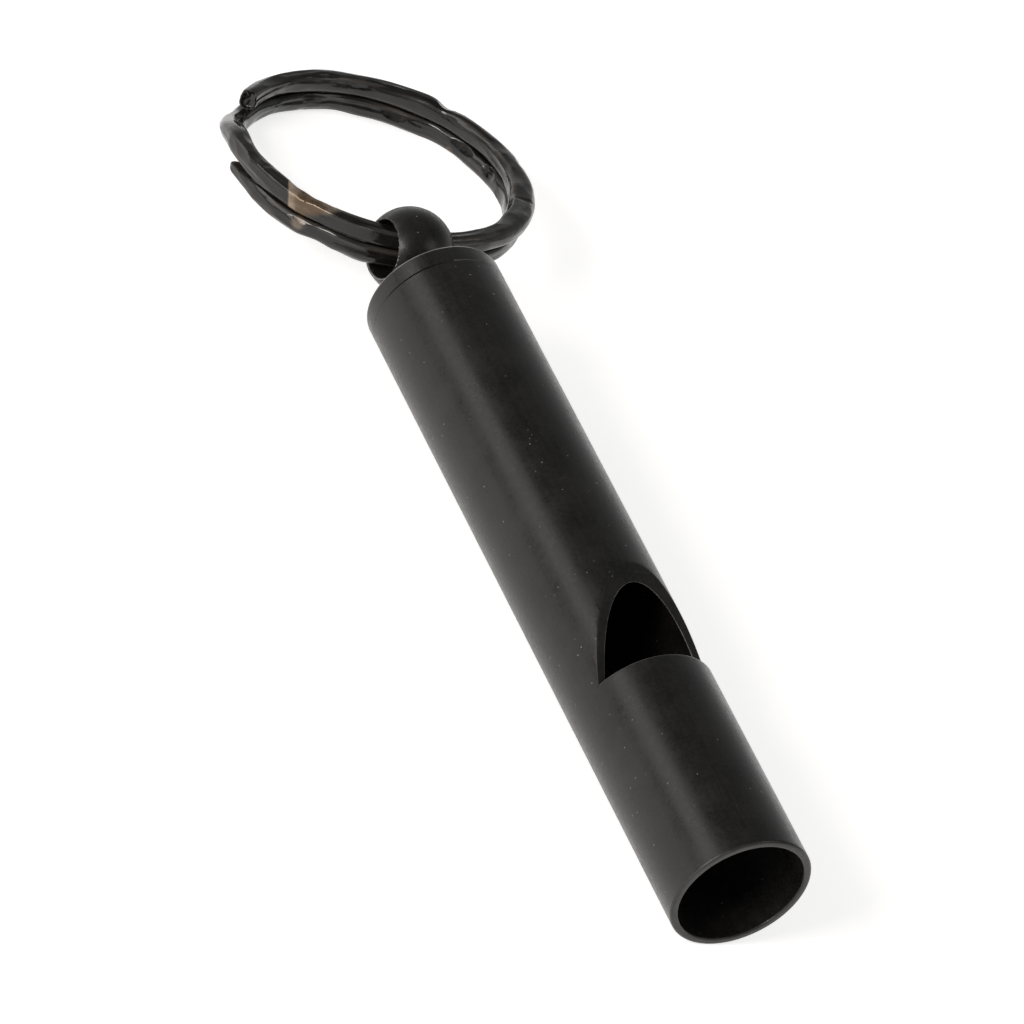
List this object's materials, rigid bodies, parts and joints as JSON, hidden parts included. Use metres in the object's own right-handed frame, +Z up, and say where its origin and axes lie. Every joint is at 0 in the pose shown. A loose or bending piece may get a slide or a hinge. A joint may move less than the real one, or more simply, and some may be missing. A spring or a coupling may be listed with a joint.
{
  "type": "tubular whistle",
  "caption": "Slim round tube whistle with a scarf-cut window, an open mouth and a cap whose ball eye carries a double-coil split key ring.",
  "frame": {"origin": "middle of the whole object's bounding box, on the surface that the tube and the ring's far side lie on", "axes": "+X along the tube towards its open mouth, +Z up through the window, Y along the eye's hole"},
  "size_m": [0.074, 0.0202, 0.009],
  "materials": {
    "black_anodised": "matte black anodised, fine bead-blasted grain",
    "black_plastic": "plain black",
    "black_plated_steel": "glossy black plating over hammered wire, worn through to brassy patches"
  },
  "bodies": {
    "whistle": {"whistle_tube": "black_anodised", "end_cap": "black_anodised", "windway_plug": "black_plastic"},
    "key_ring": {"split_ring": "black_plated_steel"}
  },
  "joints": [
    {"name": "ring_swing", "type": "hinge", "parent": "whistle", "child": "key_ring", "pos_m": [-0.01773, -0.00207, 0.0045], "axis": [0, 1, 0], "range_deg": [-151, 170]}
  ]
}
